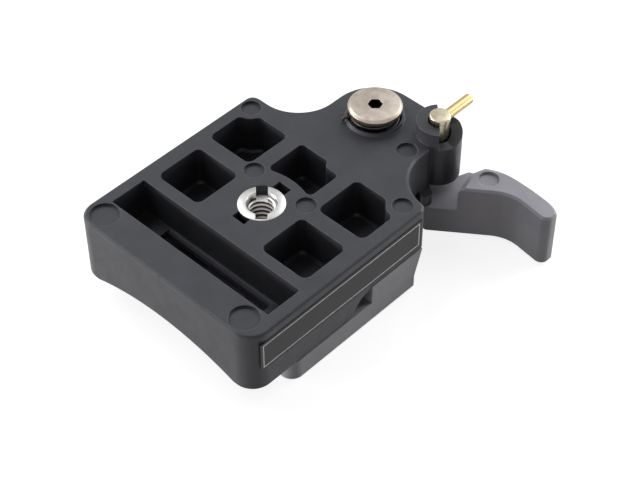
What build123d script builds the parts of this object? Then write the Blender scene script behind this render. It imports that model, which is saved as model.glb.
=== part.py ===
"""Quick release adapter with a clamped camera plate, shown ribbed side up.

Millimetres. The origin is the mouth of the tripod bush on the ribbed face, +Z points out of it,
+X runs to the lever handle side and +Y to the pivot ear.
"""
import os
from math import cos, radians, sin, sqrt

from build123d import *

os.makedirs("parts", exist_ok=True)

# Casting plan
HALF_W = 26.2          # half width of the body
FRONT_Y = -29.25       # fixed jaw end
BACK_Y = 23.4          # back edge of the square part
WALL_T = 3.1           # side wall beside the seat and the long slot
FRONT_R = 4.7
BACK_R = 2.2
SLAB_T = 11.3          # ribbed face down to the seat
TOP_BEVEL = 0.5

# Pivot ear
EAR_R = 10.5
EAR_LEFT = -11.4       # left flank of the ear
NECK_X = 14.7          # innermost point of the right cut
SCALLOP_L = HALF_W + EAR_LEFT - 4.8    # radius of the left cut
SCALLOP_R = HALF_W - NECK_X - 0.3      # radius of the right cut
PIVOT = (EAR_LEFT + EAR_R, BACK_Y + SCALLOP_L + 3.0)
EAR_FAR = PIVOT[1] + EAR_R

# Skirt round the front half of the seat
SKIRT_T = 4.6          # depth below the seat
SEAT_HALF = HALF_W - WALL_T
ARCH_HALF = SEAT_HALF - 2.6    # finger arch in the fixed jaw
ARCH_RISE = 3.4

# Camera plate
PLATE_HALF = HALF_W + 0.2
PLATE_T = 10.0
PLATE_FRONT = FRONT_Y + 8.65   # edges at the seat
PLATE_BACK = BACK_Y - 1.5
BEVEL_IN = 2.3         # how far the dovetail edge runs in
BEVEL_T = 6.9          # height of the dovetail edge
STEP_T = 4.8           # thickness of the narrow front part
STEP_Y = 6.0           # where the full width block begins
PLATE_CORNER = 2.8
JAW_GAP = 0.12
CAVITY_X = PLATE_HALF - 10.6
CAVITY_Y = (PLATE_FRONT + 4.2, PLATE_BACK - 5.9)
CAVITY_T = 6.9
PAD_SIZE = (17.0, 30.0)
PAD_X = PLATE_HALF - 11.2
PAD_Y = 0.6
PAD_T = 0.9
PAD_PROUD = 0.4

# Blank label on the side wall
LABEL_T = 0.12
LABEL_Y = (FRONT_Y + 2.45, BACK_Y - 2.0)
LABEL_Z = (1.1 - SLAB_T, -2.3)

# Pockets and slot in the ribbed face
POCKET_T = SLAB_T - 1.4
POCKET_R = 1.6
POCKET_FLOOR = 0.5     # bevel round the pocket floors
SLOT_HALF = HALF_W - WALL_T
SLOT_Y = (FRONT_Y + 7.85, FRONT_Y + 16.95)
SLOT_T = SLAB_T - 1.9
WINDOW_HALF = SLOT_HALF - 7.5
WINDOW_Y = SLOT_Y[1] - 1.05
WINDOW_BEVEL = 0.6
MARK_T = 0.6
MARK_R = 2.34
MARK_R_BIG = 3.35
MARK_LAND = 3.6

# Tripod bush
BUSH_FLANGE_R = 5.2
BUSH_FLANGE_T = 2.2
BUSH_R = 4.75
THREAD_R = 3.175       # 1/4 inch thread
THREAD_CORE_R = 2.5
BUSH_SLOT_W = 2.6
BUSH_SLOT_T = 2.0
BUSH_SLOT_ANGLE = 134
BUSH_RIM = 0.45        # rim left at the near end of the slot
NOTCH_W = 3.6
NOTCH_Y = (-7.0, 7.25)
NOTCH_T = 5.0

# Pivot screw and its spring
SHANK_R = 3.0
RUN = 0.05             # running clearance on the radius
SCREW_FIT = 0.02       # shank in the lever
HEAD_R = 6.1
HEAD_TOP = 3.9
HEAD_T = 1.4
HEX_AF = 3.0
WELL_R = 6.0
WELL_T = 2.3
COLLAR_R = WELL_R + 0.7    # foot of the raised collar, which slopes up to the well
COLLAR_T = 0.6
SPRING_R = WELL_R - 0.75
SPRING_WIRE = 0.45
SPRING_TURNS = 2.25
LEG_R = 0.4
LEG_LENGTH = 2.6

# Safety pin and its cam boss
BOSS = (PIVOT[0] + 13.55, PIVOT[1] + 6.05)
BOSS_R = 5.2
BOSS_TOP = 3.5
PIN_BORE_R = 2.65
PIN_HEAD_R = 2.38
PIN_HEAD_TOP = 5.1
PIN_HEAD_T = 1.1
PIN_BODY_R = 2.2
PIN_BODY_END = -1.2
PIN_TIP = 2.1          # shaft below the boss when drawn up
PIN_SHAFT_R = 1.5
PIN_DROP = 3.05        # travel of the pin from free to locked
ARM_R = 1.2
ARM_Z = 3.5
ARM_LENGTH = 10.1
WEB_Z = (-5.8, -4.4)
CLIP_Z = (1.4 - SLAB_T, 2.1 - SLAB_T)
CLIP_R = 2.45
PIN_SPRING_R = 2.07
PIN_SPRING_WIRE = 0.25
PIN_SPRING_TURNS = 2

# Lug under the slab beside the boss
LUG = (NECK_X + 0.5, PIVOT[1] - 1.1)
LUG_R = 1.4
LUG_LENGTH = 2.2       # between the ends' centres

# Trigger pin that holds the lever open while the seat is empty
TRIGGER = (4.5, PLATE_BACK - 1.8)
TRIGGER_R = 1.4
TRIGGER_T = 3.6
TRIGGER_STEM_R = 0.7
TRIGGER_BORE_T = 7.4
TRIGGER_SPRING_R = 1.05
TRIGGER_WIRE = 0.25
TRIGGER_TURNS = 2

# Cam ledge heights and the angles where they start and end
REST_Z = ARM_Z - ARM_R - 0.05
REST_ANGLE = 97
HIGH_Z = 0.95
HIGH_ANGLE = 75
LOW_Z = ARM_Z - ARM_R - PIN_DROP - 0.1
LOW_ANGLE = -10
WALL_LOW = -50         # end of the high wall beside the low ledge
WALL_HIGH = 137        # end of the high wall beside the rest ledge

# Clamp lever
LEVER_TOP = -SLAB_T - 2.3      # flange
LEVER_BOTTOM = -SLAB_T - 9.3
HANDLE_TOP = 4.2 - SLAB_T
HUB_R = 9.3
HANDLE_BEVEL = 0.5
ROOT_BEVEL = 1.2       # slope where the handle rises from the flange

# Camera screw
SCREW_HEAD_R = 5.5
SCREW_HEAD_Z = (-SLAB_T - 2.6, -SLAB_T - 0.4)
SCREW_RUN = 0.08
SCREW_WASHER_T = 0.8
RING_R = 7.0
RING_WIRE = 1.4

SKIRT_Z = -SLAB_T - SKIRT_T
PLATE_Z = -SLAB_T - PLATE_T
PIN_TIP_Z = -SLAB_T - PIN_TIP


def at(xy, z=0.0):
    """Location over a plan point."""
    return Location((xy[0], xy[1], z))


def column(xy, radius, low, high):
    """Upright cylinder between two heights."""
    return at(xy, (low + high) / 2) * Cylinder(radius, high - low)


def block(x0, x1, y0, y1, z0, z1):
    """Box from its limits."""
    return Location(((x0 + x1) / 2, (y0 + y1) / 2, (z0 + z1) / 2)) * Box(x1 - x0, y1 - y0, z1 - z0)


def along_x(points, x0, x1):
    """Prism along X from an outline of (y, z) points."""
    plane = Plane(origin=(x0, 0, 0), x_dir=(0, 1, 0), z_dir=(1, 0, 0))
    return extrude(plane * make_face(Polyline(*points, close=True)), x1 - x0)


def coil(radius, wire, low, high, turns, sides):
    """Wire helix on the Z axis."""
    path = Helix(pitch=(high - low) / turns, height=high - low, radius=radius)
    start = Plane(origin=path @ 0, z_dir=path % 0)
    return Pos(0, 0, low) * sweep(start * RegularPolygon(wire, sides), path=path, is_frenet=True)


def ear_point(angle):
    """Point on the ear edge."""
    return (PIVOT[0] + EAR_R * cos(radians(angle)), PIVOT[1] + EAR_R * sin(radians(angle)))


def body_face():
    """Plan outline of the casting without the boss."""
    left = (EAR_LEFT - SCALLOP_L, BACK_Y + SCALLOP_L)
    right = (NECK_X + SCALLOP_R, BACK_Y - 0.2 + SCALLOP_R)
    half = sqrt(0.5)
    corner_y = right[1] - sqrt(SCALLOP_R**2 - (HALF_W - right[0]) ** 2)
    edges = [
        Line((-HALF_W, FRONT_Y), (HALF_W, FRONT_Y)),
        Line((HALF_W, FRONT_Y), (HALF_W, corner_y)),
        ThreePointArc(
            (HALF_W, corner_y),
            (right[0] - SCALLOP_R * half, right[1] - SCALLOP_R * half),
            (NECK_X, right[1]),
        ),
        Line((NECK_X, right[1]), (NECK_X, BOSS[1])),
        Line((NECK_X, BOSS[1]), (BOSS[0], EAR_FAR)),
        Line((BOSS[0], EAR_FAR), ear_point(90)),
        ThreePointArc(ear_point(90), ear_point(135), ear_point(180)),
        Line(ear_point(180), (EAR_LEFT, left[1])),
        ThreePointArc(
            (EAR_LEFT, left[1]),
            (left[0] + SCALLOP_L * half, left[1] - SCALLOP_L * half),
            (left[0], BACK_Y),
        ),
        Line((left[0], BACK_Y), (-HALF_W, BACK_Y)),
        Line((-HALF_W, BACK_Y), (-HALF_W, FRONT_Y)),
    ]
    face = Sketch() + make_face(edges)
    front = face.vertices().filter_by(lambda v: v.Y < FRONT_Y + 0.1)
    face = fillet(front, FRONT_R)
    back = face.vertices().filter_by(lambda v: abs(v.X) > HALF_W - 0.1 and v.Y > 0)
    return fillet(back, BACK_R)


MARKS = [
    (3.3 - HALF_W, BACK_Y - 3.7),
    (HALF_W - 4.1, BACK_Y - 3.6),
    (-8.2, 6.0),
    (7.25, 6.0),
    (NECK_X - 3.3, PIVOT[1] - 3.1),
]
BIG_MARKS = [(4.8 - HALF_W, FRONT_Y + 4.25), (HALF_W - 5.9, FRONT_Y + 4.15)]
POCKETS = [
    (3.3 - HALF_W, -10.4, 6.6, BACK_Y - 4.6),
    (9.8, HALF_W - 3.4, 6.6, BACK_Y - 4.5),
    (4.2 - HALF_W, -9.4, -9.5, 2.7),
    (9.1, HALF_W - 4.2, -9.6, 2.7),
]
MIDDLE_POCKET = (-6.6, 6.1, 8.0, BACK_Y - 4.4)


def pocket(x0, x1, y0, y1):
    """Blind pocket with round corners, kept clear of the round ejector lands."""
    shape = Sketch() + Location(((x0 + x1) / 2, (y0 + y1) / 2)) * Rectangle(x1 - x0, y1 - y0)
    for xy in MARKS[:2]:
        shape -= Location(xy) * Circle(MARK_LAND)
    return sink(fillet(shape.vertices(), POCKET_R))


def middle_pocket():
    """Pocket between the bush and the ear, bowed round the bush and stepped at one corner."""
    x0, x1, y0, y1 = MIDDLE_POCKET
    step = (x1 - 4.0, y1 - 1.7)
    edges = [
        Polyline((x0, y0), (x0, y1), (step[0] - 0.9, y1), step, (x1, step[1]), (x1, y0)),
        ThreePointArc((x1, y0), (0, y0 + 1.3), (x0, y0)),
    ]
    shape = Sketch() + make_face(edges)
    return sink(fillet(shape.vertices(), 0.75 * POCKET_R))


def sink(shape):
    """Pocket solid from its plan, with a bevel round the floor."""
    solid = extrude(Location((0, 0, -POCKET_T)) * shape, POCKET_T + 1)
    return chamfer(solid.edges().group_by(Axis.Z)[0], POCKET_FLOOR)


def cam_ledge():
    """Space above the ledges: what the boss loses for the pin arm to sweep through."""
    tool = sector(WALL_LOW, LOW_ANGLE, LOW_Z)
    tool += ramp()
    tool += sector(HIGH_ANGLE, REST_ANGLE, HIGH_Z)
    tool += sector(REST_ANGLE, WALL_HIGH, REST_Z)
    return at(BOSS) * tool


def sector(start, end, floor):
    """Sector between two angles, from a floor to above the boss."""
    reach = BOSS_R + 1
    out = reach / cos(radians(end - start) / 2)
    corners = [(reach, start), (out, (start + end) / 2), (reach, end)]
    side = Polyline((0, 0), *[(r * cos(radians(a)), r * sin(radians(a))) for r, a in corners], close=True)
    return extrude(Location((0, 0, floor)) * make_face(side), BOSS_TOP + 1 - floor)


def ramp():
    """Screw-shaped space over the ramp between the low and the high ledge."""
    rise = HIGH_Z - LOW_Z
    path = Helix(pitch=rise * 360 / (HIGH_ANGLE - LOW_ANGLE), height=rise, radius=BOSS_R)
    inner, outer, height = PIN_BORE_R - 1, BOSS_R + 1, BOSS_TOP + 1 - LOW_Z
    outline = Polyline((inner, 0, 0), (outer, 0, 0), (outer, 0, height), (inner, 0, height), close=True)
    return Location((0, 0, LOW_Z)) * (Rot(0, 0, LOW_ANGLE) * sweep(make_face(outline), path=path, is_frenet=True))


def make_body():
    """Ribbed casting with the seat, fixed jaw, pivot ear and cam boss."""
    face = body_face()
    slab = extrude(face, -SLAB_T)
    slab = chamfer(slab.edges().group_by(Axis.Z)[-1], TOP_BEVEL)
    skirt = extrude(Location((0, 0, SKIRT_Z)) * face, SKIRT_T)
    skirt &= block(-HALF_W, HALF_W, FRONT_Y, STEP_Y - 0.6, SKIRT_Z, -SLAB_T)
    lean = BEVEL_IN / BEVEL_T
    seat_y = PLATE_FRONT - JAW_GAP
    skirt -= along_x(
        [
            (seat_y, -SLAB_T),
            (STEP_Y, -SLAB_T),
            (STEP_Y, SKIRT_Z - 1),
            (seat_y + lean * (SKIRT_T + 1), SKIRT_Z - 1),
        ],
        -SEAT_HALF,
        SEAT_HALF,
    )
    skirt -= along_x([(-0.6, SKIRT_Z), (2.8, -SLAB_T - 1.0), (STEP_Y, -SLAB_T), (STEP_Y, SKIRT_Z)],
                     -HALF_W - 1, HALF_W + 1)
    arch_r = (ARCH_HALF**2 + ARCH_RISE**2) / (2 * ARCH_RISE)
    arch = Location((0, FRONT_Y, SKIRT_Z + ARCH_RISE - arch_r)) * (Rot(90, 0, 0) * Cylinder(arch_r, 30))
    skirt -= arch
    body = slab + skirt
    body += column(BOSS, BOSS_R, -SLAB_T, BOSS_TOP)
    lug = Rot(0, 0, -30) * SlotCenterToCenter(LUG_LENGTH, 2 * LUG_R)
    body += upright(at(LUG) * lug, -SLAB_T - PIN_TIP, -SLAB_T + 0.6)
    body += at(PIVOT, COLLAR_T / 2) * Cone(COLLAR_R, WELL_R + 0.25, COLLAR_T)
    for limits in POCKETS:
        body -= pocket(*limits)
    body -= middle_pocket()
    body -= block(-SLOT_HALF, SLOT_HALF, *SLOT_Y, -SLOT_T, 1)
    body -= block(-WINDOW_HALF, WINDOW_HALF, SLOT_Y[0], WINDOW_Y, -SLAB_T, 1)
    low = -SLOT_T - WINDOW_BEVEL
    bevel = [(WINDOW_Y - 1, low), (WINDOW_Y, low), (WINDOW_Y + WINDOW_BEVEL, -SLOT_T), (WINDOW_Y - 1, -SLOT_T)]
    body -= along_x(bevel, -WINDOW_HALF, WINDOW_HALF)
    for xy in MARKS:
        body -= column(xy, MARK_R, -MARK_T, 1)
    for xy in BIG_MARKS:
        body -= column(xy, MARK_R_BIG, -MARK_T, 1)
    body -= column((0, 0), BUSH_FLANGE_R + 0.1, -BUSH_FLANGE_T, 1)
    body -= column((0, 0), BUSH_R, -SLAB_T, 1)
    body -= block(-NOTCH_W / 2, NOTCH_W / 2, *NOTCH_Y, -NOTCH_T, 1)
    body -= column(PIVOT, WELL_R, -WELL_T, 1)
    body -= column(PIVOT, SHANK_R + RUN, -SLAB_T, 1)
    body -= cam_ledge()
    body -= column(BOSS, PIN_BORE_R, WEB_Z[1], BOSS_TOP + 1)
    body -= column(BOSS, PIN_SHAFT_R + RUN, WEB_Z[0], WEB_Z[1])
    body -= column(BOSS, PIN_BORE_R, -SLAB_T, WEB_Z[0])
    body -= column(TRIGGER, TRIGGER_R + RUN, -SLAB_T, TRIGGER_BORE_T - SLAB_T)
    return body


def make_bush():
    """Slotted tripod bush with a flange flush in the ribbed face."""
    bush = column((0, 0), BUSH_FLANGE_R, -BUSH_FLANGE_T, 0)
    bush += column((0, 0), BUSH_R, -SLAB_T + 0.1, -BUSH_FLANGE_T)
    bush -= column((0, 0), THREAD_CORE_R, -SLAB_T, 1)
    bush -= Location((0, 0, -0.4)) * Cone(THREAD_CORE_R, THREAD_R + 0.2, 0.8)
    half = BUSH_SLOT_W / 2
    slot = block(BUSH_RIM - BUSH_FLANGE_R, BUSH_FLANGE_R + 1, -half, half, -BUSH_SLOT_T, 1)
    return bush - Rot(0, 0, BUSH_SLOT_ANGLE) * slot


def make_plate():
    """Camera plate with dovetail edges, hollow on the seat side."""
    lean_y = [
        (PLATE_FRONT, -SLAB_T),
        (PLATE_BACK, -SLAB_T),
        (PLATE_BACK - BEVEL_IN, -SLAB_T - BEVEL_T),
        (PLATE_BACK - BEVEL_IN, PLATE_Z),
        (PLATE_FRONT + BEVEL_IN, PLATE_Z),
        (PLATE_FRONT + BEVEL_IN, -SLAB_T - BEVEL_T),
    ]
    plate = along_x(lean_y, -PLATE_HALF, PLATE_HALF)
    for side in (-1, 1):
        narrow = SEAT_HALF - 0.3
        x0, x1 = sorted((side * narrow, side * (PLATE_HALF + 1)))
        plate -= block(x0, x1, PLATE_FRONT - 1, STEP_Y, -SLAB_T - STEP_T, -SLAB_T)
        centre = (side * (PLATE_HALF - PLATE_CORNER), PLATE_FRONT + BEVEL_IN + PLATE_CORNER)
        x0, x1 = sorted((centre[0], side * (PLATE_HALF + 1)))
        corner = block(x0, x1, PLATE_FRONT - 1, centre[1], PLATE_Z, -SLAB_T - STEP_T)
        plate -= corner - column(centre, PLATE_CORNER, PLATE_Z, -SLAB_T - STEP_T)
    plate -= block(-CAVITY_X, CAVITY_X, *CAVITY_Y, -SLAB_T - CAVITY_T, -SLAB_T)
    plate -= column((0, 0), THREAD_R + SCREW_RUN, PLATE_Z, -SLAB_T)
    for side in (-1, 1):
        plate -= pad_shape(side, 0)
    return plate


def pad_shape(side, gap):
    """Grip pad let into the camera face."""
    width, length = PAD_SIZE
    face = Location((side * PAD_X, PAD_Y)) * RectangleRounded(width - gap, length - gap, 2.0)
    return extrude(Location((0, 0, PLATE_Z - PAD_PROUD)) * face, PAD_T)


def rounded(corners):
    """Plan face at the pivot from (x, y, radius) corners."""
    face = Sketch() + make_face(Polyline(*[(x, y) for x, y, _ in corners], close=True))
    for x, y, radius in corners:
        if radius:
            face = fillet(face.vertices().sort_by_distance((x, y, 0))[0], radius)
    return at(PIVOT) * face


def upright(face, low, high):
    """Plan face raised between two heights."""
    return extrude(Location((0, 0, low)) * face, high - low)


# Finger edge, tip and back of the lever handle from the pivot: x, y and corner radius
FINGER = [(23.8, 1.1, 0), (33.1, 7.9, 9.0), (44.2, 6.4, 1.8), (44.1, 11.7, 2.5), (30.0, 12.9, 12.0)]


def make_lever():
    """Clamp lever: hub and jaw under the ear, a raised finger handle outside it."""
    tip = PLATE_BACK - BEVEL_IN - 0.3 - PIVOT[1]
    jaw = [(-0.6, tip, 0), (8.7, tip, 0), (9.3, -4.8, 2.0), (14.5, -3.2, 3.0), (18.5, -2.8, 1.0)]
    back = [(18.0, 12.6, 1.2), (16.6, 8.6, 0.8), (0, HUB_R, 0), (-8.7, -3.2, 0)]
    lever = upright(rounded(jaw + FINGER + back), LEVER_BOTTOM, LEVER_TOP)
    lever += column(PIVOT, HUB_R, LEVER_BOTTOM, -SLAB_T - 0.1)
    root = [(26.6, 12.9, 0), (23.2, 11.2, 0), (22.0, 7.6, 0)]
    grip = upright(rounded(FINGER + root), LEVER_BOTTOM, HANDLE_TOP)
    top = grip.edges().group_by(Axis.Z)[-1]
    grip = chamfer(top.filter_by(lambda e: e.center().X < PIVOT[0] + root[0][0]), ROOT_BEVEL)
    top = grip.edges().group_by(Axis.Z)[-1]
    lever += chamfer(top.filter_by(lambda e: e.center().X > PIVOT[0] + root[0][0]), HANDLE_BEVEL)
    lean = BEVEL_IN / BEVEL_T
    edge = PLATE_BACK + JAW_GAP
    low = LEVER_BOTTOM - 1
    lever -= along_x([(10, -SLAB_T), (edge, -SLAB_T), (edge - BEVEL_IN, -SLAB_T - BEVEL_T),
                      (edge - BEVEL_IN, low), (10, low)], PIVOT[0] - HUB_R, PIVOT[0] + 15)
    lever -= column(PIVOT, SHANK_R + SCREW_FIT, LEVER_BOTTOM, 0)
    lever -= column(BOSS, PIN_SHAFT_R + 0.15, LEVER_TOP - 4, LEVER_TOP)
    lever -= column((PIVOT[0] + 26.6, PIVOT[1] + 8.1), MARK_R, HANDLE_TOP - MARK_T, HANDLE_TOP)
    return lever


def make_pivot_screw():
    """Pivot screw with a broad socket head, fixed in the lever and turning in the ear."""
    head = column((0, 0), HEAD_R, HEAD_TOP - HEAD_T, HEAD_TOP)
    head = chamfer(head.edges().group_by(Axis.Z)[-1], 0.35)
    screw = head + column((0, 0), SHANK_R, LEVER_BOTTOM, HEAD_TOP - HEAD_T)
    socket = Location((0, 0, HEAD_TOP - 2.2)) * RegularPolygon(HEX_AF / 2, 6, major_radius=False, rotation=13)
    screw -= extrude(socket, 3)
    return at(PIVOT) * screw


def make_lever_spring():
    """Torsion spring round the pivot screw, one leg over the collar."""
    rise = SPRING_WIRE + 0.03
    spring = coil(SPRING_R, SPRING_WIRE, rise - WELL_T, HEAD_TOP - HEAD_T - rise, SPRING_TURNS, 4)
    spring = at(PIVOT) * spring
    leg = Pos(SPRING_R + 0.85, 0, COLLAR_T + LEG_R + 0.05) * (Rot(0, 90, 0) * Cylinder(LEG_R, LEG_LENGTH))
    return spring + at(PIVOT) * (Rot(0, 0, -125) * leg)


def make_pin():
    """Safety pin: head, guide body with a cross hole and a slim locking shaft."""
    head = column((0, 0), PIN_HEAD_R, PIN_HEAD_TOP - PIN_HEAD_T, PIN_HEAD_TOP)
    head = chamfer(head.edges().group_by(Axis.Z)[-1], 0.25)
    pin = head + column((0, 0), PIN_BODY_R, PIN_BODY_END, PIN_HEAD_TOP - PIN_HEAD_T)
    pin += column((0, 0), PIN_SHAFT_R, PIN_TIP_Z, PIN_BODY_END)
    pin -= arm_shape(0, PIN_HEAD_R)
    return at(BOSS) * pin


def arm_shape(start, end):
    """Rod along +Y at the height of the pin arm."""
    return Location((0, (start + end) / 2, ARM_Z)) * (Rot(90, 0, 0) * Cylinder(ARM_R, end - start))


def make_arm():
    """Cross arm pressed into the safety pin."""
    arm = arm_shape(0, ARM_LENGTH)
    return at(BOSS) * chamfer(arm.edges().group_by(Axis.Y)[-1], 0.25)


def make_trigger():
    """Trigger pin in the seat, pressed in by the camera plate."""
    pin = column(TRIGGER, TRIGGER_R, -SLAB_T, TRIGGER_T - SLAB_T)
    return pin + column(TRIGGER, TRIGGER_STEM_R, TRIGGER_T - SLAB_T, TRIGGER_T + 1.6 - SLAB_T)


def make_screw():
    """Captive camera screw, drawn back level with the grip pads."""
    screw = column((0, 0), SCREW_HEAD_R, *SCREW_HEAD_Z)
    screw += column((0, 0), THREAD_R, PLATE_Z - PAD_PROUD, SCREW_HEAD_Z[0])
    return screw - ring_pins()


def make_screw_washer():
    """Plain washer under the screw head; it travels with the screw and doesn't turn."""
    top = SCREW_HEAD_Z[0]
    outer = column((0, 0), SCREW_HEAD_R - 0.6, top - SCREW_WASHER_T, top)
    return outer - column((0, 0), THREAD_R + RUN, top - SCREW_WASHER_T, top)


def ring_pins():
    """Inward ends of the folding ring."""
    mid = (SCREW_HEAD_Z[0] + SCREW_HEAD_Z[1]) / 2
    start = SCREW_HEAD_R - 1.2
    ends = Part()
    for side in (-1, 1):
        plane = Plane(origin=(side * start, 0, mid), x_dir=(0, 1, 0), z_dir=(side, 0, 0))
        ends += extrude(plane * RegularPolygon(RING_WIRE / 2, 6), RING_R - start)
    return ends


def make_ring():
    """Folding ring of the camera screw lying flat in the plate."""
    mid = (SCREW_HEAD_Z[0] + SCREW_HEAD_Z[1]) / 2
    path = CenterArc((0, 0), RING_R, 0, 180)
    profile = Plane(origin=(RING_R, 0, 0), z_dir=(0, 1, 0)) * RegularPolygon(RING_WIRE / 2, 6)
    return Location((0, 0, mid)) * sweep(profile, path=path) + ring_pins()


nodes = {
    "adapter_body": make_body(),
    "tripod_bush": make_bush(),
    "label_plate": block(HALF_W, HALF_W + LABEL_T, *LABEL_Y, *LABEL_Z),
    "camera_plate": make_plate(),
    "grip_pad_left": pad_shape(-1, 0.1),
    "grip_pad_right": pad_shape(1, 0.1),
    "camera_screw": make_screw(),
    "camera_screw_ring": make_ring(),
    "camera_screw_washer": make_screw_washer(),
    "clamp_lever": make_lever(),
    "pivot_screw": make_pivot_screw(),
    "lever_spring": make_lever_spring(),
    "trigger_pin": make_trigger(),
    "trigger_spring": at(TRIGGER) * coil(
        TRIGGER_SPRING_R, TRIGGER_WIRE, TRIGGER_T + 0.3 - SLAB_T, TRIGGER_BORE_T - 0.3 - SLAB_T, TRIGGER_TURNS, 4),
    "safety_pin": make_pin(),
    "safety_pin_arm": make_arm(),
    "safety_pin_clip": column(BOSS, CLIP_R, *CLIP_Z) - column(BOSS, PIN_SHAFT_R, *CLIP_Z),
    "safety_pin_spring": at(BOSS) * coil(
        PIN_SPRING_R, PIN_SPRING_WIRE, CLIP_Z[1] + 0.3, WEB_Z[0] - 0.3, PIN_SPRING_TURNS, 4),
}

for name, shape in nodes.items():
    shape.label = name
    export_step(shape, f"parts/{name}.step")
    box = shape.bounding_box()
    print(name, len(shape.solids()), round(shape.volume, 1), box.min, box.max)
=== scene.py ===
"""Looks of the quick release adapter: materials, detailed metal pieces, floor, lights and camera.

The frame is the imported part's: +Z out of the tripod bush, +Y to the pivot ear, +X to the lever
handle. Blender works in metres. The shapes here are written in millimetres, which MM converts.
"""

from math import cos, pi, radians, sin

import bmesh
import bpy
from mathutils import Matrix, Vector


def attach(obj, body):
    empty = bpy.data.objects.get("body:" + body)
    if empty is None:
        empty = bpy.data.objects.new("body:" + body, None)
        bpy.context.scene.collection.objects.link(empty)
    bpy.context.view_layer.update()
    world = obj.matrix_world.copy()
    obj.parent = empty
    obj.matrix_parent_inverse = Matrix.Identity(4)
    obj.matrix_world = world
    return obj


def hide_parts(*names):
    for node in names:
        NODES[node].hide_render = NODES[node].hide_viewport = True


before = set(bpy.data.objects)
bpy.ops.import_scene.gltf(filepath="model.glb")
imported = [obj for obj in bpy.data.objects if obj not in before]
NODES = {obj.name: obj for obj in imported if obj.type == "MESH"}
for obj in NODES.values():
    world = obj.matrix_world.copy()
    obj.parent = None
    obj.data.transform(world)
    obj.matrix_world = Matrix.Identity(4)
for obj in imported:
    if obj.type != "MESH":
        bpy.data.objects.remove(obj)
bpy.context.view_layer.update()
MM = 0.001
MERGE = 1e-7  # points closer than this, in metres, are one
BEVEL_SAMPLES = 6
WAVE_RATE = 0.31  # wave texture scale at which one wave takes one unit

# Upright axes in plan, mm
ORIGIN = (0.0, 0.0)
PIVOT = (-0.9, 36.4)
PIN_AXIS = (12.65, 42.45)


def put(tree, socket, value):
    """Link an output to a socket, or set the socket to a plain value."""
    if isinstance(value, bpy.types.NodeSocket):
        tree.links.new(value, socket)
    else:
        socket.default_value = value


def maths(tree, operation, *values):
    """Result of a math node over outputs and numbers."""
    node = tree.nodes.new("ShaderNodeMath")
    node.operation = operation
    for socket, value in zip(node.inputs, values):
        put(tree, socket, value)
    return node.outputs[0]


def vector_maths(tree, operation, *values):
    """Result of a vector math node: a number for a length or a dot product, else a vector."""
    node = tree.nodes.new("ShaderNodeVectorMath")
    node.operation = operation
    for socket, value in zip(node.inputs, values):
        put(tree, socket, value)
    return node.outputs["Value" if operation in ("LENGTH", "DOT_PRODUCT") else "Vector"]


def colour_mix(tree, factor, first, second):
    """First colour at factor 0, second at 1."""
    node = tree.nodes.new("ShaderNodeMix")
    node.data_type = "RGBA"
    for key, value in (("Factor", factor), ("A", first), ("B", second)):
        put(tree, node.inputs[key], value)
    return node.outputs["Result"]


def split(tree, vector):
    """X, Y and Z of a vector."""
    node = tree.nodes.new("ShaderNodeSeparateXYZ")
    tree.links.new(vector, node.inputs[0])
    return node.outputs


def noise(tree, vector, size_mm, detail=3.0):
    """Noise whose features are about size_mm across."""
    node = tree.nodes.new("ShaderNodeTexNoise")
    node.inputs["Scale"].default_value = 1.0 / (size_mm * MM)
    node.inputs["Detail"].default_value = detail
    node.inputs["Roughness"].default_value = 0.55
    tree.links.new(vector, node.inputs["Vector"])
    return node.outputs["Fac"]


def ramp(tree, value, low, low_colour, high, high_colour):
    """Colour that runs from one to the other between two values."""
    node = tree.nodes.new("ShaderNodeValToRGB")
    stops = ((low, low_colour), (high, high_colour))
    for element, (place, colour) in zip(node.color_ramp.elements, stops):
        element.position = place
        element.color = (*colour, 1.0)
    tree.links.new(value, node.inputs["Fac"])
    return node.outputs["Color"]


def to_range(tree, value, low, high, out_low, out_high):
    """Map a value from one range to another, held at the ends."""
    node = tree.nodes.new("ShaderNodeMapRange")
    ends = (("From Min", low), ("From Max", high), ("To Min", out_low), ("To Max", out_high))
    for key, number in ends:
        node.inputs[key].default_value = number
    tree.links.new(value, node.inputs["Value"])
    return node.outputs["Result"]


def rounded_normal(tree, width_mm):
    """Normals as if each edge were rounded by width_mm."""
    node = tree.nodes.new("ShaderNodeBevel")
    node.samples = BEVEL_SAMPLES
    node.inputs["Radius"].default_value = width_mm * MM
    return node.outputs["Normal"]


def near_edge(tree, width_mm):
    """0 on open faces, rising to 1 on edges, from how far rounded normals lean away."""
    plain = tree.nodes.new("ShaderNodeNewGeometry").outputs["Normal"]
    lean = vector_maths(tree, "DOT_PRODUCT", rounded_normal(tree, width_mm), plain)
    return to_range(tree, lean, 0.99, 0.86, 0.0, 1.0)


def bump(tree, shader, height, depth_mm, soft_mm=0.0):
    """Bump from a height, over rounded edges if soft_mm is given."""
    node = tree.nodes.new("ShaderNodeBump")
    node.inputs["Strength"].default_value = 1.0
    node.inputs["Distance"].default_value = depth_mm * MM
    tree.links.new(height, node.inputs["Height"])
    if soft_mm:
        tree.links.new(rounded_normal(tree, soft_mm), node.inputs["Normal"])
    tree.links.new(node.outputs["Normal"], shader.inputs["Normal"])


def new_material(name):
    """New Principled material, with its tree, its shader and the object coordinates."""
    mat = bpy.data.materials.new(name)
    mat.use_nodes = True
    tree = mat.node_tree
    where = tree.nodes.new("ShaderNodeTexCoord").outputs["Object"]
    return mat, tree, tree.nodes["Principled BSDF"], where


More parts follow.
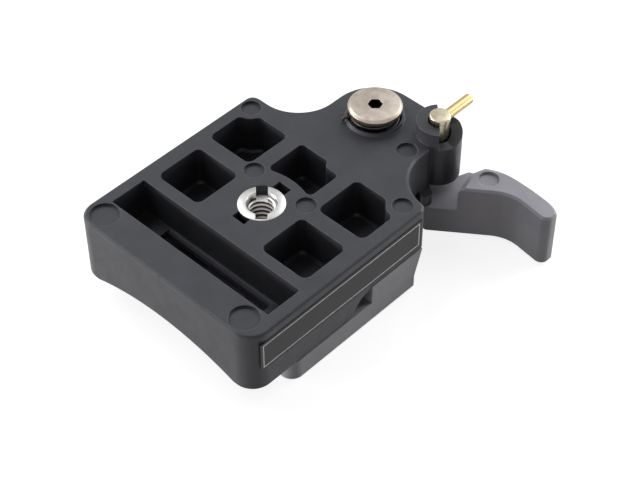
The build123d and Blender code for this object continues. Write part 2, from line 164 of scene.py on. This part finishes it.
def painted(name, dark, light, roughness, grain_mm, depth_mm, soft_mm, specular=0.3, edge_wear_and_highlight=0.0):
    """Satin paint on a casting: orange peel, mottling, rough and smooth patches, paler edges that
    are partly worn paint and partly painted highlight.

    The edge factor is how many times paler than light the edges get: partly worn paint, partly a
    painted highlight along convex and hollow edges alike; 0 leaves them alone.
    """
    mat, tree, shader, where = new_material(name)
    mottle = noise(tree, where, size_mm=7.0, detail=4.0)
    colour = ramp(tree, mottle, 0.35, dark, 0.65, light)
    if edge_wear_and_highlight:
        # Edges, hollow and convex alike, turn paler: partly worn paint, partly a painted highlight.
        patches = to_range(tree, noise(tree, where, size_mm=1.1), 0.35, 0.6, 0.35, 1.0)
        worn_and_lit_edges = maths(tree, "MULTIPLY", near_edge(tree, width_mm=0.22), patches)
        pale = (*[min(1.0, c * edge_wear_and_highlight) for c in light], 1.0)
        colour = colour_mix(tree, worn_and_lit_edges, colour, pale)
    tree.links.new(colour, shader.inputs["Base Color"])
    shader.inputs["Specular IOR Level"].default_value = specular
    smear = noise(tree, where, size_mm=2.2)
    sheen = to_range(tree, smear, 0.3, 0.7, roughness - 0.05, roughness + 0.06)
    tree.links.new(sheen, shader.inputs["Roughness"])
    bump(tree, shader, noise(tree, where, grain_mm, detail=2.0), depth_mm, soft_mm)
    return mat


def from_axis(tree, where, centre):
    """Object coordinates measured from an upright axis."""
    return vector_maths(tree, "SUBTRACT", where, (centre[0] * MM, centre[1] * MM, 0.0))


def darken_round_axis(tree, where, undarkened_colour, centre, darker_colour, full_mm, none_mm, high_mm):
    """Colour that darkens between two distances from an upright axis, below a height."""
    fade_mm = 0.3
    flat = vector_maths(tree, "MULTIPLY", from_axis(tree, where, centre), (1.0, 1.0, 0.0))
    away = vector_maths(tree, "LENGTH", flat)
    height = split(tree, where)["Z"]
    near = to_range(tree, away, none_mm * MM, full_mm * MM, 0.0, 1.0)
    deep = to_range(tree, height, high_mm * MM, (high_mm - fade_mm) * MM, 0.0, 1.0)
    return colour_mix(tree, maths(tree, "MULTIPLY", near, deep), undarkened_colour, (*darker_colour, 1.0))


def metal(name, colour, tint, roughness, turned_mm=0.0, centre=ORIGIN, soft_mm=0.15, hollow_darkening=None):
    """Bright or turned metal; turned_mm sets the pitch of fine rings round a centre.

    The darkening tuple (colour, radius of full darkening, radius of none, highest z in mm) darkens
    a bore, a socket or a thread's roots; in a socket it is painted shade.
    """
    mat, tree, shader, where = new_material(name)
    shader.inputs["Metallic"].default_value = 1.0
    haze = noise(tree, where, size_mm=1.6, detail=4.0)
    surface = ramp(tree, haze, 0.35, tint, 0.65, colour)
    if hollow_darkening:
        surface = darken_round_axis(tree, where, surface, centre, *hollow_darkening)
    tree.links.new(surface, shader.inputs["Base Color"])
    sheen = to_range(tree, haze, 0.3, 0.7, roughness, roughness + 0.07)
    tree.links.new(sheen, shader.inputs["Roughness"])
    if turned_mm:
        wave = tree.nodes.new("ShaderNodeTexWave")
        wave.wave_type = "RINGS"
        wave.rings_direction = "Z"
        wave.inputs["Scale"].default_value = WAVE_RATE / (turned_mm * MM)
        wave.inputs["Distortion"].default_value = 1.5
        wave.inputs["Detail"].default_value = 2.0
        tree.links.new(from_axis(tree, where, centre), wave.inputs["Vector"])
        texture = wave.outputs["Fac"]
    else:
        texture = noise(tree, where, size_mm=0.25, detail=2.0)
    bump(tree, shader, texture, 0.002, soft_mm)
    return mat


def rubber(name):
    """Matt rubber with fine ribs along the pad."""
    mat, tree, shader, where = new_material(name)
    colour = ramp(tree, noise(tree, where, size_mm=3.0),
                  0.3, (0.02, 0.02, 0.021), 0.7, (0.035, 0.035, 0.036))
    tree.links.new(colour, shader.inputs["Base Color"])
    shader.inputs["Roughness"].default_value = 0.82
    rib_pitch_mm = 1.2
    wave = tree.nodes.new("ShaderNodeTexWave")
    wave.bands_direction = "Y"
    wave.inputs["Scale"].default_value = WAVE_RATE / (rib_pitch_mm * MM)
    tree.links.new(where, wave.inputs["Vector"])
    bump(tree, shader, wave.outputs["Fac"], 0.25)
    return mat


def film(name):
    """Printed film, left blank: black with one thin pale frame line near its edge."""
    mat, tree, shader, where = new_material(name)
    place = split(tree, where)
    inset_mm, line_mm = 0.8, 0.28
    margins = []
    for axis, middle_mm, half_mm in (("Y", -2.7, 24.1), ("Z", -6.25, 3.95)):
        away = maths(tree, "ABSOLUTE", maths(tree, "SUBTRACT", place[axis], middle_mm * MM))
        margins.append(maths(tree, "SUBTRACT", half_mm * MM, away))
    margin = maths(tree, "MINIMUM", *margins)
    line = maths(tree, "COMPARE", margin, inset_mm * MM, line_mm * MM / 2)
    ground = ramp(tree, noise(tree, where, size_mm=4.0),
                  0.3, (0.008, 0.008, 0.009), 0.7, (0.013, 0.013, 0.014))
    tree.links.new(colour_mix(tree, line, ground, (0.78, 0.78, 0.78, 1.0)),
                   shader.inputs["Base Color"])
    shader.inputs["Roughness"].default_value = 0.42
    shader.inputs["Specular IOR Level"].default_value = 0.22
    bump(tree, shader, noise(tree, where, size_mm=0.5), 0.004)
    return mat


CASTING = painted("casting", (0.044, 0.0445, 0.0505), (0.055, 0.0555, 0.0625), 0.40,
                  grain_mm=0.35, depth_mm=0.012, soft_mm=0.25, specular=0.22, edge_wear_and_highlight=2.8)
GREY = painted("grey_casting", (0.305, 0.294, 0.318), (0.345, 0.333, 0.358), 0.44,
               grain_mm=0.35, depth_mm=0.012, soft_mm=0.25, specular=0.25, edge_wear_and_highlight=1.35)
# The bush's bore turns dark brown towards the thread's roots below z -1 mm.
NICKEL = metal("nickel", (0.44, 0.434, 0.418), (0.395, 0.389, 0.374), 0.33,
               turned_mm=0.25, soft_mm=0.1, hollow_darkening=((0.045, 0.029, 0.021), 2.95, 2.70, -1.0))
MILLED = metal("milled_nickel", (0.74, 0.72, 0.69), (0.62, 0.60, 0.575), 0.55)
# The hexagon socket's faces below the head top darken towards the axis: painted shade in the
# hollow.
HEAD = metal("pivot_nickel", (0.40, 0.350, 0.295), (0.32, 0.279, 0.235), 0.32, turned_mm=0.25,
             centre=PIVOT, soft_mm=0.1, hollow_darkening=((0.035, 0.031, 0.028), 1.6, 1.8, 3.8))
PIN = metal("pin_nickel", (0.47, 0.41, 0.305), (0.40, 0.347, 0.255), 0.24,
            turned_mm=0.2, centre=PIN_AXIS)
BRASS = metal("brass", (0.46, 0.335, 0.17), (0.385, 0.275, 0.135), 0.32)
STEEL = metal("steel", (0.56, 0.555, 0.545), (0.45, 0.445, 0.44), 0.32, turned_mm=0.3)
SPRING = metal("spring_steel", (0.05, 0.047, 0.044), (0.03, 0.028, 0.027), 0.32)
RUBBER = rubber("pad")
LABEL = film("label")
WASHER = painted("washer", (0.06, 0.06, 0.061), (0.09, 0.09, 0.092), 0.5,
                 grain_mm=0.5, depth_mm=0.01, soft_mm=0.0)

for node_name, node_material in {
    "adapter_body": CASTING, "tripod_bush": NICKEL, "label_plate": LABEL,
    "camera_plate": GREY, "grip_pad_left": RUBBER, "grip_pad_right": RUBBER,
    "camera_screw": STEEL, "camera_screw_ring": STEEL, "camera_screw_washer": WASHER,
    "clamp_lever": GREY, "pivot_screw": HEAD, "lever_spring": SPRING,
    "safety_pin": PIN, "safety_pin_arm": BRASS, "safety_pin_clip": STEEL,
    "safety_pin_spring": SPRING, "trigger_pin": BRASS, "trigger_spring": SPRING,
}.items():
    NODES[node_name].data.materials.clear()
    NODES[node_name].data.materials.append(node_material)


def shade(bm, sharp_deg=35.0):
    """Smooth shading apart from the edges sharper than an angle."""
    for face in bm.faces:
        face.smooth = True
    for edge in bm.edges:
        closed = len(edge.link_faces) == 2
        edge.smooth = closed and edge.calc_face_angle(0.0) < radians(sharp_deg)


def mesh_object(name, bm, mat):
    """Object from a bmesh, in the scene and shaded."""
    bmesh.ops.recalc_face_normals(bm, faces=bm.faces)
    shade(bm)
    mesh = bpy.data.meshes.new(name)
    bm.to_mesh(mesh)
    bm.free()
    mesh.materials.append(mat)
    obj = bpy.data.objects.new(name, mesh)
    bpy.context.scene.collection.objects.link(obj)
    return obj


def shade_again(obj, sharp_deg=35.0):
    """Shade a mesh after a cut."""
    bm = bmesh.new()
    bm.from_mesh(obj.data)
    shade(bm, sharp_deg)
    bm.to_mesh(obj.data)
    bm.free()


def cut(obj, tool):
    """Subtract a closed mesh and drop it; the new faces take the tool's material."""
    mod = obj.modifiers.new("cut", "BOOLEAN")
    mod.operation = "DIFFERENCE"
    mod.solver = "EXACT"
    mod.material_mode = "TRANSFER"
    mod.object = tool
    depsgraph = bpy.context.evaluated_depsgraph_get()
    mesh = bpy.data.meshes.new_from_object(obj.evaluated_get(depsgraph))
    obj.modifiers.clear()
    obj.data = mesh
    bpy.data.objects.remove(tool)


def vertex(bm, x, y, z):
    """New vertex from millimetres."""
    return bm.verts.new((x * MM, y * MM, z * MM))


def skin(bm, rings, wrap=False):
    """Faces between neighbouring rings of vertices, and from the last ring to the first to wrap."""
    count = len(rings[0])
    followers = rings[1:] + rings[:1] if wrap else rings[1:]
    for a, b in zip(rings, followers):
        for i in range(count):
            j = (i + 1) % count
            bm.faces.new((a[i], b[i], b[j], a[j]))


def cap(bm, rings):
    """End faces on the first and last ring."""
    bm.faces.new(list(reversed(rings[0])))
    bm.faces.new(rings[-1])


def polar(centre, r, a):
    """Plan point at a radius and an angle from a centre."""
    return centre[0] + r * cos(a), centre[1] + r * sin(a)


def arc(cx, cz, r, start_deg, end_deg, steps):
    """Points on an arc of a profile."""
    angles = [radians(start_deg + (end_deg - start_deg) * i / steps) for i in range(steps + 1)]
    return [(cx + r * cos(a), cz + r * sin(a)) for a in angles]


def turned(profile, centre, steps):
    """Closed bmesh turned round an upright axis, from (radius, z) points round its section."""
    bm = bmesh.new()
    rings = []
    for i in range(steps):
        a = 2 * pi * i / steps
        rings.append([vertex(bm, *polar(centre, r, a), z) for r, z in profile])
    skin(bm, rings, wrap=True)
    bmesh.ops.remove_doubles(bm, verts=bm.verts, dist=MERGE)
    return bm


def prism(name, outline, low, high, mat):
    """Upright prism from plan points."""
    bm = bmesh.new()
    rings = [[vertex(bm, x, y, z) for x, y in outline] for z in (low, high)]
    skin(bm, rings)
    cap(bm, rings)
    return mesh_object(name, bm, mat)


def tube(name, path, radius, mat, sides=14):
    """Round wire along points in mm."""
    bm = bmesh.new()
    pts = [Vector(p) * MM for p in path]
    normal = (pts[1] - pts[0]).normalized().orthogonal().normalized()
    rings = []
    for i, p in enumerate(pts):
        ahead = (pts[min(i + 1, len(pts) - 1)] - pts[max(i - 1, 0)]).normalized()
        normal = (normal - ahead * normal.dot(ahead)).normalized()
        side = ahead.cross(normal)
        turns = [2 * pi * k / sides for k in range(sides)]
        rings.append([bm.verts.new(p + (normal * cos(a) + side * sin(a)) * radius * MM)
                      for a in turns])
    skin(bm, rings)
    cap(bm, rings)
    return mesh_object(name, bm, mat)


# Tripod bush: slotted flange over a body with a 1/4 inch thread, 20 turns per inch
FLANGE_R, FLANGE_T, BODY_R, BUSH_LOW = 5.2, 2.2, 4.75, -11.2
CORE_R, ROOT_R, PITCH, THREAD_TOP = 2.5, 3.12, 1.27, -1.05
SLOT_DIRECTION_DEG, SLOT_HALF, SLOT_DEPTH = 134, 1.3, 2.4


def thread_radius(turn, z):
    """Bore radius at a part of a turn and a height: core radius at the crests, round roots."""
    phase = (z / PITCH - turn) % 1.0
    depth = 0.5 - 0.5 * cos(2 * pi * phase)
    return CORE_R + (ROOT_R - CORE_R) * depth**0.8


def make_bush():
    """Bush mesh with the thread as a height field in its bore."""
    steps, rows = 96, 132
    outside = [(FLANGE_R - 0.12, 0.0), (FLANGE_R, -0.1), (FLANGE_R, -FLANGE_T),
               (BODY_R, -FLANGE_T), (BODY_R, BUSH_LOW)]
    lead_in = [(2.98, -0.95), (3.22, -0.3), (3.42, 0.0)]
    heights = [BUSH_LOW + (THREAD_TOP - BUSH_LOW) * j / rows for j in range(rows + 1)]
    bm = bmesh.new()
    rings = []
    for i in range(steps):
        a = 2 * pi * i / steps
        thread = [(thread_radius(i / steps, z), z) for z in heights]
        rings.append([vertex(bm, *polar(ORIGIN, r, a), z) for r, z in outside + thread + lead_in])
    skin(bm, rings, wrap=True)
    bush = mesh_object("tripod_bush_threaded", bm, NICKEL)
    turn = Matrix.Rotation(radians(SLOT_DIRECTION_DEG), 3, "Z")
    corners = ((-BODY_R, -SLOT_HALF), (6.0, -SLOT_HALF), (6.0, SLOT_HALF), (-BODY_R, SLOT_HALF))
    plan = [turn @ Vector((x, y, 0)) for x, y in corners]
    cut(bush, prism("slot_tool", [(p.x, p.y) for p in plan], -SLOT_DEPTH, 1.0, MILLED))
    shade_again(bush, 40)
    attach(bush, "adapter")
    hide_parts("tripod_bush")


make_bush()

# Pivot screw: head from z 2.5 to 3.9 on a plain shank, 3 mm hexagon socket
HEAD_TOP, HEAD_LOW, SHANK_R, SHANK_LOW = 3.9, 2.5, 3.0, -20.6
SOCKET_FLATS, SOCKET_TURN_DEG, SOCKET_FLOOR = 3.0, 13, 1.7


def make_pivot_screw():
    """Pivot screw with rounded head edges and a deep hexagon socket."""
    profile = [(0.0, HEAD_TOP)] + arc(5.45, 3.75, 0.15, 90, 45, 2) + arc(5.85, 3.35, 0.25, 45, 0, 4)
    profile += arc(5.9, 2.7, 0.2, 0, -90, 3)
    profile += [(SHANK_R, HEAD_LOW), (SHANK_R, SHANK_LOW), (0.0, SHANK_LOW)]
    screw = mesh_object("pivot_screw_turned", turned(profile, PIVOT, 112), HEAD)
    corner = SOCKET_FLATS / 2 / cos(radians(30))
    hexagon = [polar(PIVOT, corner, radians(SOCKET_TURN_DEG + 30 + 60 * i)) for i in range(6)]
    cut(screw, prism("socket_tool", hexagon, SOCKET_FLOOR, HEAD_TOP + 1.0, HEAD))
    shade_again(screw)
    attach(screw, "lever")
    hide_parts("pivot_screw")


make_pivot_screw()

# Torsion spring: coil from z -1.8 to 2.0, one leg out over the collar
COIL_R, COIL_LOW, COIL_HIGH, COIL_TURNS, COIL_WIRE = 5.25, -1.8, 2.0, 2.25, 0.43
LEG_DIRECTION_DEG, LEG_WIRE = -125, 0.38
LEG_POINTS = [(4.85, 1.05), (5.6, 1.05), (6.3, 1.05), (6.9, 1.05), (7.2, 0.85), (7.25, 0.5)]


def make_lever_spring():
    """Round-wire torsion spring under the screw head, its leg turned down over the collar."""
    steps = int(COIL_TURNS * 56)
    path = []
    for i in range(steps + 1):
        a = 2 * pi * COIL_TURNS * i / steps
        path.append((*polar(PIVOT, COIL_R, a), COIL_LOW + (COIL_HIGH - COIL_LOW) * i / steps))
    coil = tube("lever_spring_coil", path, COIL_WIRE, SPRING)
    leg_path = [(*polar(PIVOT, r, radians(LEG_DIRECTION_DEG)), z) for r, z in LEG_POINTS]
    leg = tube("lever_spring_leg", leg_path, LEG_WIRE, SPRING)
    for obj in (coil, leg):
        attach(obj, "adapter")
    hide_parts("lever_spring")


make_lever_spring()

# Cross arm of the safety pin: a rod along +Y at this height
ARM_R, ARM_LENGTH, ARM_Z, ARM_ROUND = 1.2, 10.1, 3.5, 0.4


def make_pin():
    """Safety pin and its cross arm with rounded ends."""
    profile = [(0.0, 5.1)] + arc(2.08, 4.8, 0.3, 90, 0, 5) + arc(2.33, 4.05, 0.05, 0, -90, 1)
    profile += [(2.2, 4.0), (2.2, -1.0), (2.0, -1.2), (1.5, -1.2)]
    profile += [(1.5, -13.1), (1.3, -13.4), (0.0, -13.4)]
    pin = mesh_object("safety_pin_turned", turned(profile, PIN_AXIS, 80), PIN)
    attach(pin, "pin")
    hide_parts("safety_pin")
    end = arc(ARM_R - ARM_ROUND, ARM_LENGTH - ARM_ROUND, ARM_ROUND, 0, 90, 5)
    rod = turned([(0.0, 0.0), (ARM_R, 0.0)] + end + [(0.0, ARM_LENGTH)], ORIGIN, 56)
    move = Matrix.Translation(Vector((*PIN_AXIS, ARM_Z)) * MM)
    rod.transform(move @ Matrix.Rotation(radians(-90), 4, "X"))
    arm = mesh_object("safety_pin_arm_turned", rod, BRASS)
    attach(arm, "pin")
    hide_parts("safety_pin_arm")


make_pin()

# Handle of the clamp lever: the top edge of its back from tip to root, in mm from the pivot
HANDLE_BACK = [(45.2, 7.6), (43.75, 9.6), (42.2, 10.75), (40.2, 11.3), (37.5, 11.65),
               (34.4, 11.9), (30.8, 12.0), (28.1, 11.8), (25.9, 11.3), (24.0, 11.2)]
HANDLE_TOP, FLANGE_TOP, TRIM_LOW, BACK_BEVEL = -7.1, -13.6, -21.2, 0.5
# Below the flange top the trim fades out from FADE_FROM towards the pivot, clear of the hub
FADE_FROM, FADE_RUN, CLEAR_Y = 31.0, 5.0, 13.6


def curve_through(points, steps):
    """Smooth run through plan points (Catmull-Rom)."""
    pts = [2 * Vector(points[0]) - Vector(points[1])] + [Vector(p) for p in points]
    pts.append(2 * pts[-1] - pts[-2])
    run = []
    for a, b, c, d in zip(pts, pts[1:], pts[2:], pts[3:]):
        for i in range(steps):
            t = i / steps
            run.append(0.5 * (2 * b + (c - a) * t + (2 * a - 5 * b + 4 * c - d) * t * t
                              + (3 * b - a - 3 * c + d) * t**3))
    return run + [pts[-2]]


def handle_tool():
    """Solid behind the handle's back: its near side follows the back under an even bevel."""
    back = curve_through(HANDLE_BACK, 8)
    outward = []
    for i in range(len(back)):
        along = (back[min(i + 1, len(back) - 1)] - back[max(i - 1, 0)]).normalized()
        outward.append(Vector((-along.y, along.x)))
    step = 0.05
    over = 0.6
    levels = [(TRIM_LOW, BACK_BEVEL, True), (FLANGE_TOP - step, BACK_BEVEL, True),
              (FLANGE_TOP + step, BACK_BEVEL, False), (HANDLE_TOP - BACK_BEVEL, BACK_BEVEL, False),
              (HANDLE_TOP, 0.0, False), (HANDLE_TOP + over, -over, False)]
    near_x, far_x, far_y = 21.0, 47.0, 16.0
    bm = bmesh.new()
    rings = []
    for z, inset, faded in levels:
        row = []
        for p, n in zip(back, outward):
            q = p - n * inset
            if faded:
                fade = min(max((FADE_FROM - p.x) / FADE_RUN, 0.0), 1.0)
                q = Vector((q.x, q.y + (CLEAR_Y - q.y) * fade * fade * (3 - 2 * fade)))
            row.append(q)
        row += [Vector((near_x, row[-1].y)), Vector((near_x, far_y)), Vector((far_x, far_y)),
                Vector((far_x, row[0].y))]
        rings.append([vertex(bm, PIVOT[0] + q.x, PIVOT[1] + q.y, z) for q in row])
    skin(bm, rings)
    cap(bm, rings)
    return mesh_object("handle_tool", bm, GREY)


def make_lever():
    """Clamp lever with the back of its finger handle trimmed to one smooth curve."""
    mesh = NODES["clamp_lever"].data.copy()
    bm = bmesh.new()
    bm.from_mesh(mesh)
    bmesh.ops.remove_doubles(bm, verts=bm.verts, dist=MERGE)
    bm.to_mesh(mesh)
    bm.free()
    lever = bpy.data.objects.new("clamp_lever_rounded", mesh)
    bpy.context.scene.collection.objects.link(lever)
    cut(lever, handle_tool())
    shade_again(lever, 30)
    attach(lever, "lever")
    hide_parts("clamp_lever")


make_lever()

FLOOR_Z = -21.72  # a hair under the pads, mm


def seen_or_mirrored(tree):
    """1 for what the camera sees, straight or in a mirror."""
    path = tree.nodes.new("ShaderNodeLightPath")
    value = path.outputs["Is Camera Ray"]
    for key in ("Is Glossy Ray", "Is Transmission Ray"):
        value = maths(tree, "MAXIMUM", value, path.outputs[key])
    return value


def make_floor():
    """Pale floor that shows white to the camera and keeps the part's shadow."""
    bm = bmesh.new()
    bmesh.ops.create_grid(bm, x_segments=1, y_segments=1, size=3.0)
    bm.transform(Matrix.Translation((0, 0, FLOOR_Z * MM)))
    mat = bpy.data.materials.new("floor")
    mat.use_nodes = True
    tree = mat.node_tree
    shader = tree.nodes["Principled BSDF"]
    shader.inputs["Base Color"].default_value = (0.34, 0.34, 0.34, 1.0)
    shader.inputs["Roughness"].default_value = 0.9
    shader.inputs["Specular IOR Level"].default_value = 0.1
    glow = tree.nodes.new("ShaderNodeEmission")
    glow.inputs["Strength"].default_value = 0.84
    lit = tree.nodes.new("ShaderNodeAddShader")
    tree.links.new(shader.outputs[0], lit.inputs[0])
    tree.links.new(glow.outputs[0], lit.inputs[1])
    mix = tree.nodes.new("ShaderNodeMixShader")
    for socket, output in zip(mix.inputs, (seen_or_mirrored(tree), shader.outputs[0],
                                           lit.outputs[0])):
        tree.links.new(output, socket)
    tree.links.new(mix.outputs[0], tree.nodes["Material Output"].inputs["Surface"])
    floor = mesh_object("floor", bm, mat)


make_floor()


def area(name, place, target, size, power, colour, height=None):
    """Soft light aimed at a point, square unless it has its own height."""
    data = bpy.data.lights.new(name, "AREA")
    data.size = size
    if height:
        data.shape = "RECTANGLE"
        data.size_y = height
    data.energy = power
    data.color = colour
    light = bpy.data.objects.new(name, data)
    light.location = place
    light.visible_camera = False
    light.rotation_mode = "QUATERNION"
    light.rotation_quaternion = (Vector(target) - Vector(place)).to_track_quat("-Z", "Y")
    bpy.context.scene.collection.objects.link(light)


# The two large lamps stand clear of the direction that level metal mirrors to the camera
MIDDLE = (0.0, 0.0, -0.01)
EAR_SIDE = (0.035, 0.03, -0.01)
COOL = (0.92, 0.95, 1.0)
area("key", (0.02, 0.85, 0.54), MIDDLE, 0.80, 7.0, COOL)
area("left", (-0.68, -0.08, 0.70), MIDDLE, 0.86, 7.2, COOL)
area("fill", (-0.46, -0.50, 0.055), MIDDLE, 0.40, 4.2, (1.0, 0.985, 0.96), height=0.12)
area("side", (0.10, 0.16, 0.02), EAR_SIDE, 0.06, 0.10, (1.0, 0.97, 0.94))
area("front", (0.22, -0.70, 0.12), MIDDLE, 0.30, 0.5, (1.0, 0.96, 0.93))

# White world where it is seen or mirrored, and a faint light from it otherwise
WORLD_LIGHT = 0.06
world = bpy.data.worlds.new("studio")
bpy.context.scene.world = world
world.use_nodes = True
world_tree = world.node_tree
background = world_tree.nodes["Background"]
background.inputs["Color"].default_value = (1.0, 1.0, 1.0, 1.0)
strength = to_range(world_tree, seen_or_mirrored(world_tree), 0.0, 1.0, WORLD_LIGHT, 1.0)
world_tree.links.new(strength, background.inputs["Strength"])

# Camera fitted to the photograph: place in metres, and the directions of its right and up
CAMERA_PLACE = (0.18335, -0.17472, 0.25084)
RIGHT = Vector((0.7248, 0.6890, -0.0009))
UP = Vector((-0.4953, 0.5219, 0.6945))
BEHIND = RIGHT.cross(UP)
camera_data = bpy.data.cameras.new("camera")
camera_data.lens = 95.24
camera_data.sensor_width = 36.0
camera_data.clip_start = 0.02
camera_data.clip_end = 20.0
camera = bpy.data.objects.new("camera", camera_data)
bpy.context.scene.collection.objects.link(camera)
axes = Matrix((RIGHT, UP, BEHIND)).transposed().to_4x4()
camera.matrix_world = Matrix.Translation(CAMERA_PLACE) @ axes
bpy.context.scene.camera = camera
bpy.context.scene.view_settings.view_transform = "Standard"
